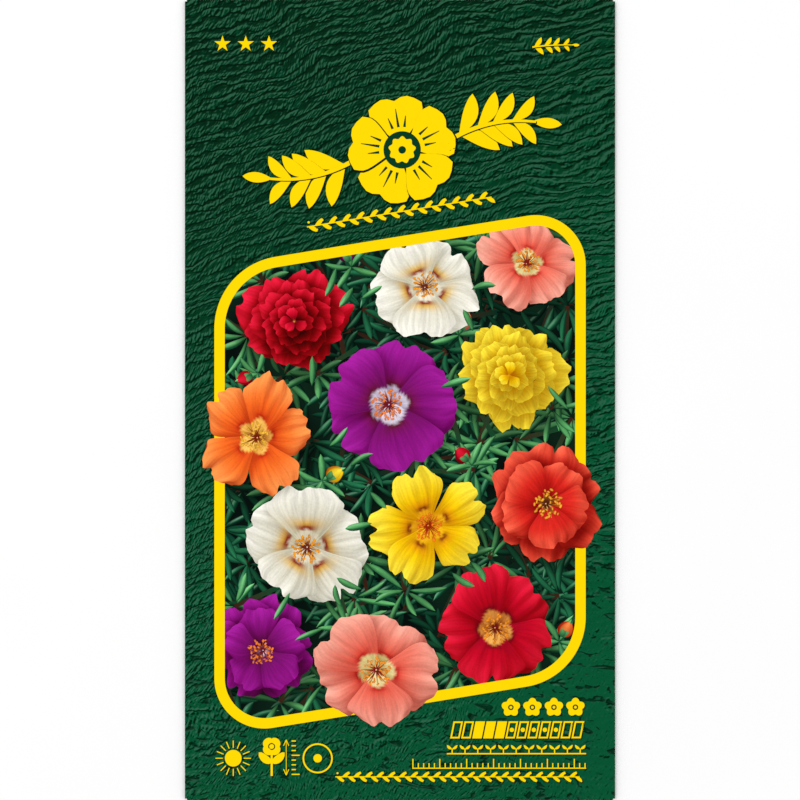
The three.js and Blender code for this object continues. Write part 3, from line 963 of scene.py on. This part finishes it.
FRAME_HALF_WIDTH = 33.53
FRAME_TOP, FRAME_FOOT = 29.35, -56.07  # heights of its top and bottom sides at the packet's middle
SLANT = math.radians(9.25)  # the frame's slope, which the ornaments above it follow
FRAME_BAND = 1.96
FRAME_CORNERS = (8.3, 12.1, 8.3, 12.5)  # radii of its corners, from the lower left one round


def frame_outline():
    corners = []
    for side, middle in ((-1, FRAME_FOOT), (1, FRAME_FOOT), (1, FRAME_TOP), (-1, FRAME_TOP)):
        x = side * FRAME_HALF_WIDTH
        corners.append((x, middle + x * math.tan(SLANT)))
    return Outline(corners, FRAME_CORNERS)


def picture(press, random):
    """The picture of a bed of moss roses, inside its frame."""
    region = frame_outline()
    columns = np.linspace(-FRAME_HALF_WIDTH + 0.01, FRAME_HALF_WIDTH - 0.01, 60)
    heights = np.linspace(*np.transpose([region.span(x) for x in columns]), 72)
    grid = np.stack([columns + 0 * heights, heights], -1)
    clouds = 0.5 + 0.5 * np.sin(grid[..., 0] * 0.31 + 2 * np.sin(grid[..., 1] * 0.19))
    press.paint(grid, blend(srgb(3, 12, 9), srgb(9, 34, 22), clouds))
    press.above_all(CLEARANCE)

    press.region = region
    spots = [(np.array(plan[:2]), plan[2]) for plan in BLOSSOMS]
    foliage(press, random, spots)
    for plan in BUDS:
        bud(press, random, *plan)
    for i in range(OVER_FRAME):
        blossom(press, random, BLOSSOMS[i], near(spots, i))
    for number, direction in LEAVES_OVER_BLOSSOMS:
        centre, radius = spots[number]
        angle = math.radians(direction)
        root, size = centre + (radius + 1.6) * toward(angle), random.uniform(4.2, 6.0)
        inward = angle + math.pi + random.uniform(-0.5, 0.5)
        leaf_in_bed(press, random, root, inward, size, LEAF_TIERS[-1])
    press.region = None

    line = np.vstack([region.points, region.points[:1]])
    out = np.vstack([region.outward, region.outward[:1]]) * FRAME_BAND / 2
    press.paint(np.stack([line - out, line, line + out]), YELLOW_INK)
    for i in range(OVER_FRAME, len(BLOSSOMS)):
        blossom(press, random, BLOSSOMS[i], near(spots, i))


def near(spots, i):
    """The later blossoms that come close to blossom i."""
    here, size = spots[i]
    return [(spot, radius) for spot, radius in spots[i + 1:]
            if np.linalg.norm(spot - here) < size + radius + 3]


# ------------------------------------------------------------------------------ the ornaments
INK_SHADOW = np.array([0.16, -0.16])  # how far the dark edge of a figure shows beside it


def ornament(press, *grids, spread=1.0):
    """A figure, of one shape or of several that join. On the front it has a thin dark edge at its
    lower right, or all round it where spread is over 1."""
    if press.figure_shadow is not None:
        for grid in grids:
            middle = grid.reshape(-1, 2).mean(0)
            press.paint(middle + (grid - middle) * spread + INK_SHADOW, press.figure_shadow)
    for grid in grids:
        press.paint(grid, press.figure)


def upright(points):
    """Leaves points where they are."""
    return points


def slanted(centre):
    """A function that moves points to a centre and turns them by the slant."""
    return lambda points: np.array(centre) + rotate(points, SLANT)


def flat_petal(angle, inner, outer, width):
    """A heart-shaped petal about the origin, without shading."""
    s, t = net(9, 9)
    breadth = 0.22 + 0.78 * np.sin(math.pi / 2 * np.minimum(1, s / 0.72)) ** 1.1
    edge = 1 - 0.24 * np.abs(t) ** 2.4 - 0.12 * np.exp(-(t / 0.25) ** 2)
    ahead = inner + (outer - inner) * s * (1 - (1 - edge) * s**1.5)
    return rotate(np.stack([ahead, width / 2 * breadth * t], -1), angle)


def flat_blossom(press, place, centre, radius):
    """A blossom as a plain figure: five petals with dark veins, and a button in a dark ring."""
    for k in (0, 2, 4, 1, 3):
        angle = math.pi / 2 + 2 * math.pi * k / 5
        petal = flat_petal(angle, 0.2 * radius, radius, 0.98 * radius)
        ornament(press, place(petal + centre), spread=1.05)
        for spread in (-0.26, 0, 0.26):
            line = np.linspace(0.42, 0.76 - abs(spread) / 2, 5)[:, None] * radius * toward(angle + spread)
            press.paint(place(ribbon(line, radius * np.linspace(0.05, 0.012, 5)) + centre), GREEN_INK)
    press.paint(place(disc(centre, 0.34 * radius, 40)), GREEN_INK)
    button = disc(centre, lambda a: 0.23 * radius * (1 + 0.10 * np.cos(9 * a)), 54)
    press.paint(place(button), YELLOW_INK)
    press.paint(place(disc(centre, 0.07 * radius, 16)), GREEN_INK)


def leafy_stem(press, place, start, end, bend, pairs, size, width, stem=0.55, first=0.15):
    """A curved stem with leaves in pairs that grow smaller towards the leaf at its end."""
    s = np.linspace(0, 1, 25)[:, None]
    ahead = np.subtract(end, start)
    path = start + s * ahead + bend * 4 * s * (1 - s) * leftward(ahead)
    for k in range(pairs + 1):
        share = first + (1 - first) * k / pairs
        i = min(23, int(round(share * 23)))
        spot, way = path[i], path[i + 1] - path[i]
        scale = 1 - 0.35 * share
        for side in ((-1, 1) if k < pairs else (0,)):
            tip = spot + size * scale * toward(math.atan2(way[1], way[0]) + 0.80 * side)
            shape = leaf(spot, tip, width * scale, -0.10 * side, rows=11, fullest=0.55)
            ornament(press, place(shape), spread=1.06)
    ornament(press, place(ribbon(path, np.linspace(stem, 0.5 * stem, 25))))


LEAN = 0.20  # how far the boxes of the calendar lean, for each unit of height


def box(x, y, width, height, edge=None):
    """A leaning box with its lower left corner at x, y: filled, or an outline as wide as edge."""
    def corner(i, j, inset):
        rise = inset + j * (height - 2 * inset)
        return x + inset + i * (width - 2 * inset) + LEAN * rise, y + rise

    if edge is None:
        return np.array([[corner(i, j, 0) for i in (0, 0.5, 1)] for j in (0, 0.5, 1)])
    loop = ((0, 0), (1, 0), (1, 1), (0, 1), (0, 0))
    return np.array([[corner(i, j, inset) for i, j in loop] for inset in (0, edge)])


def leaf_chain(press, place, start, end, size, width):
    """A row of leaves that lean in turn to either side of a thin line, with a berry beside each."""
    start, ahead = np.array(start, float), np.subtract(end, start)
    heading, length = math.atan2(ahead[1], ahead[0]), np.linalg.norm(ahead)
    shapes = [bar(start, end, 0.22)]
    count = int(length / (0.62 * size))
    for k in range(count):
        side = 1 if k % 2 else -1
        spot = start + ahead * (k + 0.15) / count
        tip = spot + size * toward(heading + 0.62 * side)
        shapes.append(leaf(spot, tip, width, -0.08 * side, rows=7, columns=3, fullest=0.55))
        berry = spot + 0.42 * size * toward(heading - 1.25 * side)
        shapes.append(disc(berry, 0.16 * width + 0.1, 10))
    ornament(press, *[place(shape) for shape in shapes])


BADGE = (0.4, 46.4)  # middle of the large ornament over the picture
LINE_UNDER_BADGE = (0.0, 34.9)
MARGIN = 34.6  # where the lines of figures at the lower right end


def eye(press, centre, dark, bright, steps=24):
    """A dark green disc with a yellow one on it, of these radii."""
    press.paint(disc(centre, dark), GREEN_INK)
    press.paint(disc(centre, bright, steps), YELLOW_INK)


def ornaments(press):
    """Plain garden figures in yellow, each with a thin dark edge."""
    def star(angle):
        return np.where(np.round((angle - math.pi / 2) / (math.pi / 5)) % 2 == 0, 1.6, 0.62)

    for k in range(3):
        ornament(press, disc((-33.0 + 4.32 * k, 66.2), star, 10, math.pi / 2))
    leafy_stem(press, upright, (24.6, 65.6), (32.2, 66.0), 0.02, 4, 2.3, 0.85, stem=0.3, first=0.05)
    badge = slanted(BADGE)
    for side in (-1, 1):
        leafy_stem(press, badge, (side * 8, 0), (side * 25.4, side * 1.2), 0.09, 4, 8.6, 3.0, 0.9, 0.16)
    flat_blossom(press, badge, (0, 0), 10.2)
    leaf_chain(press, slanted(LINE_UNDER_BADGE), (-17.5, 0), (17.2, 0), 2.0, 0.8)
    culture_signs(press)
    sowing_table(press)


def culture_signs(press):
    """The row of signs at the lower left: sun, height of growth, annual."""
    sun = np.array((-31.0, -66.6))
    ornament(press, disc(sun, 1.56, 32))
    for k in range(16):
        way = toward(math.pi * k / 8)
        ornament(press, bar(sun + 1.95 * way, sun + 3.3 * way, 0.19))

    head, foot = np.array((-23.85, -64.4)), np.array((-23.85, -69.9))
    leaves = [leaf(foot + (0, 2.4), foot + (2.4 * side, 4.4), 1.46, -0.06 * side, 11, 3, 0.45, 0.55)
              for side in (-1, 1)]
    petals = disc(head, lambda a: 1.46 + 0.38 * np.abs(np.sin(2 * a)) ** 0.7, 48)
    ornament(press, bar(foot, head, 0.42), *leaves, petals)
    eye(press, head, 0.66, 0.46)

    x, low, high = -21.15, -69.75, -63.15
    barbs = [bar((x, tip), (x + 0.48 * side, tip + 1.1 * way), 0.16)
             for tip, way in ((high, -1), (low, 1)) for side in (-1, 1)]
    ornament(press, bar((x, low + 0.3), (x, high - 0.3), 0.13), *barbs)
    scale = x + 1.0
    for k in range(8):
        y, length = low + 0.15 + 0.89 * k, 0.8 if k % 4 else 1.5
        ornament(press, bar((scale, y), (scale + length, y), 0.24))

    annual = (-15.3, -66.6)
    ornament(press, ring(annual, 2.66, 0.32))
    ornament(press, disc(annual, 0.80))


def sowing_table(press):
    """The lines of figures at the lower right: flowers, months, a row of sprouts, a scale, leaves."""
    def petals(angle):
        return 1.28 + 0.50 * np.abs(np.cos(2.5 * (angle - math.pi / 2)))

    for k in range(4):
        flower = (MARGIN - 2.0 - 4.0 * k, -57.1)
        ornament(press, disc(flower, petals, 50))
        eye(press, flower, 0.52, 0.28, 14)

    for month in range(12):
        x = MARGIN - 0.70 - 2.05 * (12 - month)
        ornament(press, box(x, -62.9, 1.78, 3.2, None if month in (2, 3, 4) else 0.32))
        if 5 <= month <= 9:
            ornament(press, disc((x + 0.9 + LEAN * 1.6, -61.3), 0.42, 14))

    soil = -65.75
    shapes = [bar((MARGIN - 25.9, soil), (MARGIN, soil), 0.26)]
    for k in range(11):
        foot = np.array((MARGIN - 24.9 + 2.38 * k, soil))
        shapes.append(bar(foot, foot + (0, 0.95), 0.24))
        for side in (-1, 1):
            shapes.append(leaf(foot + (0, 0.85), foot + (0.98 * side, 1.65), 0.5, -0.1 * side, 7, 3))
    ornament(press, *shapes)

    scale = -68.45
    shapes = [bar((MARGIN - 32.3, scale), (MARGIN, scale), 0.22)]
    for k in range(33):
        x = MARGIN - 32.2 + k
        shapes.append(bar((x, scale), (x, scale + (0.95 if k % 5 else 1.75)), 0.22))
    ornament(press, *shapes)
    leaf_chain(press, upright, (MARGIN - 46.6, -70.05), (MARGIN - 1.2, -70.05), 1.7, 0.62)


# ---------------------------------------------------------------------------------- the back
BACK_RISE = 0.02  # from the back's outer faces to the lowest ink
SEAM_GAP = 0.03  # kept free of ink on either side of the seam
FIELD = (-35.5, -56.0, 35.5, 52.0)  # the pale field: left, bottom, right, top
CREAM_INK, SOIL_INK, WATER_INK = srgb(241, 235, 208), srgb(96, 62, 36), srgb(60, 132, 190)
DARK_GREEN_INK, LEAF_INK, RED_INK = srgb(6, 74, 44), srgb(58, 140, 62), srgb(206, 30, 40)
MONTH = 5.3  # width of a month in the calendar, which has one of its lines at the seam
CALENDAR = SEAM - 7 * MONTH, SEAM + 5 * MONTH  # from side to side
ROUND = 5.2  # radius of the vignettes
VIGNETTES = (26.6, 13.3, 0, -13.3, -26.6)  # their places across, as the back is read


def back_height(x, _):
    """Height of the back's outer faces above the floor, on either side of the seam."""
    return np.where(x <= SEAM, LEFT_PANEL, RIGHT_PANEL) - BACK_RISE


def slab(press, left, bottom, right, top, ink):
    """A rectangle on the back, in two parts where it crosses the seam."""
    for x0, x1 in ((left, min(right, SEAM - SEAM_GAP)), (max(left, SEAM + SEAM_GAP), right)):
        if x1 - x0 > 0.05:
            columns = np.linspace(x0, x1, 2 + int((x1 - x0) / 8))
            press.paint(np.stack(np.meshgrid(columns, [bottom, (bottom + top) / 2, top]), -1), ink)


def rule(press, left, right, y, width):
    slab(press, left, y - width / 2, right, y + width / 2, DARK_GREEN_INK)


def sprout(press, foot, size):
    """A stem with two leaves."""
    press.paint(bar(foot, foot + (0, 0.75 * size), 0.10 * size), LEAF_INK)
    for side in (-1, 1):
        tip = foot + np.array([0.62 * side, 1.05]) * size
        press.paint(leaf(foot + (0, 0.55 * size), tip, 0.34 * size, -0.15 * side), LEAF_INK)


def vignettes(press, y):
    """Five round pictures. In the order in which the back is read, from +X: seeds, drops of water, a
    sprout, the space between plants, a flower."""
    inside = ROUND - 0.45
    for radius, ink in ((ROUND, DARK_GREEN_INK), (inside, CREAM_INK)):
        for x in VIGNETTES:
            press.paint(disc((x, y), radius, 60), ink)
        press.above_all()
    turns = np.linspace(math.radians(202), math.radians(338), 25)
    low = y + inside * np.sin(turns)
    soil = low[0]
    for x in VIGNETTES[:-1]:
        across = x + inside * np.cos(turns)
        press.paint(np.stack([np.stack([across, edge], 1) for edge in (low, low * 0 + soil)]), SOIL_INK)
    press.above_all()

    seeds, water, young, apart, flower = VIGNETTES
    for k in range(-2, 3):
        press.paint(disc((seeds + 1.2 * k, soil - 0.75), 0.34, 12), CREAM_INK)
    for across, up in ((-1.7, 0.9), (0, 2.2), (1.7, 0.9), (0, -0.2)):
        drop = np.array((water + across, y + up))
        press.paint(leaf(drop + (0, 0.8), drop - (0, 0.8), 1.0, fullest=0.7), WATER_INK)
    sprout(press, np.array((young, soil)), 4.2)
    for side in (-1, 1):
        plant, arrow = apart + 2.2 * side, soil - 1.3
        sprout(press, np.array((plant, soil)), 2.3)
        press.paint(bar((apart, arrow), (plant, arrow), 0.25), CREAM_INK)
        press.paint(disc((plant, arrow), 0.5, 3, 0 if side > 0 else math.pi), CREAM_INK)
    press.figure = RED_INK
    flat_blossom(press, upright, (flower, y), 0.8 * ROUND)
    press.figure = DARK_GREEN_INK


def calendar(press, top):
    """Twelve months, with the spans of sowing indoors, sowing outdoors and flowering."""
    (left, right), row = CALENDAR, 5.0
    for k, (first, last, ink) in enumerate(((2, 4, YELLOW_INK), (4, 6, LEAF_INK), (5, 10, RED_INK))):
        y = top - row * (k + 0.5)
        slab(press, right - MONTH * last, y - 1.3, right - MONTH * first, y + 1.3, ink)
    press.above_all()
    for k in range(4):
        rule(press, left, right, top - row * k, 0.3)
    press.above_all()
    for k in range(13):
        x = left + MONTH * k
        half = 0.14 if k in (0, 12) else 0.09
        x += SEAM_GAP + half if abs(x - SEAM) < half else 0
        slab(press, x - half, top - 3 * row, x + half, top, DARK_GREEN_INK)


def back_figures(press):
    """A pale field with vignettes, a sowing calendar, lines for notes and a spray of leaves."""
    press.figure, press.figure_shadow = DARK_GREEN_INK, None
    left, bottom, right, top = FIELD
    slab(press, *FIELD, CREAM_INK)
    press.above_all()
    inset, line = 1.6, 0.4
    for y in (bottom + inset, top - inset):
        rule(press, left + inset, right - inset, y, line)
    press.above_all()
    low, high = bottom + inset - line / 2, top - inset + line / 2
    for x in (left + inset, right - inset):
        slab(press, x - line / 2, low, x + line / 2, high, DARK_GREEN_INK)
    vignettes(press, 40)
    calendar(press, 28)
    for k in range(6):
        rule(press, *CALENDAR, 5 - 7 * k, 0.22)
    for side in (-1, 1):
        leafy_stem(press, upright, (6.5 * side, -43), (29 * side, -42), -0.08 * side, 5, 6.2, 2.2, stem=0.6)
    press.figure = RED_INK
    flat_blossom(press, upright, (0, -43.4), 4.9)


# ---------------------------------------------------------------------------------- assembling
random = np.random.default_rng(7)
dress_the_inside()
folded_sheet()

front = Print(printed_height, 1)
ground(front)
picture(front, random)
ornaments(front)
back = Print(back_height, -1)
back_figures(back)
inks = ground_material(), picture_material(), yellow_material()
front.finish("front_print", inks)
back.finish("back_print", inks)


# --------------------------------------------------------------------------- floor, light, camera
def stage():
    bpy.ops.mesh.primitive_plane_add(size=6)
    floor = bpy.context.object
    floor.name = "floor"
    nodes = Nodes("floor")
    clouds = nodes.place.noise(size=30)
    nodes.surface(Base_Color=nodes.mix(clouds, (0.965, 0.965, 0.965), (0.985, 0.985, 0.985)),
                  Roughness=0.9, Specular_IOR_Level=0.0)
    floor.data.materials.append(nodes.material)


LAMP_SIZE, LAMP_DISTANCE = 0.7, 1.4  # metres


def soft_light(name, azimuth, elevation, watts):
    lamp = bpy.data.lights.new(name, "AREA")
    lamp.shape = "DISK"
    lamp.size = LAMP_SIZE
    lamp.energy = watts
    thing = bpy.data.objects.new(name, lamp)
    a, e = math.radians(azimuth), math.radians(elevation)
    way = math.cos(e) * math.cos(a), math.cos(e) * math.sin(a), math.sin(e)
    thing.location = [LAMP_DISTANCE * part for part in way]
    thing.rotation_euler = (math.pi / 2 - e, 0, a + math.pi / 2)
    bpy.context.collection.objects.link(thing)


def lights():
    soft_light("key", 130, 52, 3.9)
    soft_light("fill", 20, 45, 1.1)
    soft_light("back", 250, 45, 1.1)
    world = bpy.data.worlds.new("world")
    bpy.context.scene.world = world
    world.use_nodes = True
    background = world.node_tree.nodes["Background"]
    background.inputs["Color"].default_value = (1, 1, 1, 1)
    background.inputs["Strength"].default_value = 0.8


VIEW_HEIGHT = 148.75  # what the view spans at the packet's flat edges, a hair less than its height


def camera():
    """A long lens straight above the packet, its top to the top of the view."""
    lens, sensor = 200, 36
    data = bpy.data.cameras.new("camera")
    data.lens, data.sensor_width = lens, sensor
    data.clip_end = 100
    thing = bpy.data.objects.new("camera", data)
    reach = VIEW_HEIGHT * MM / 2 / (sensor / 2 / lens)
    thing.location = (0, 0, reach + FLAT_TOP * MM)
    bpy.context.collection.objects.link(thing)
    bpy.context.scene.camera = thing


stage()
lights()
camera()
bpy.context.scene.view_settings.view_transform = "Standard"
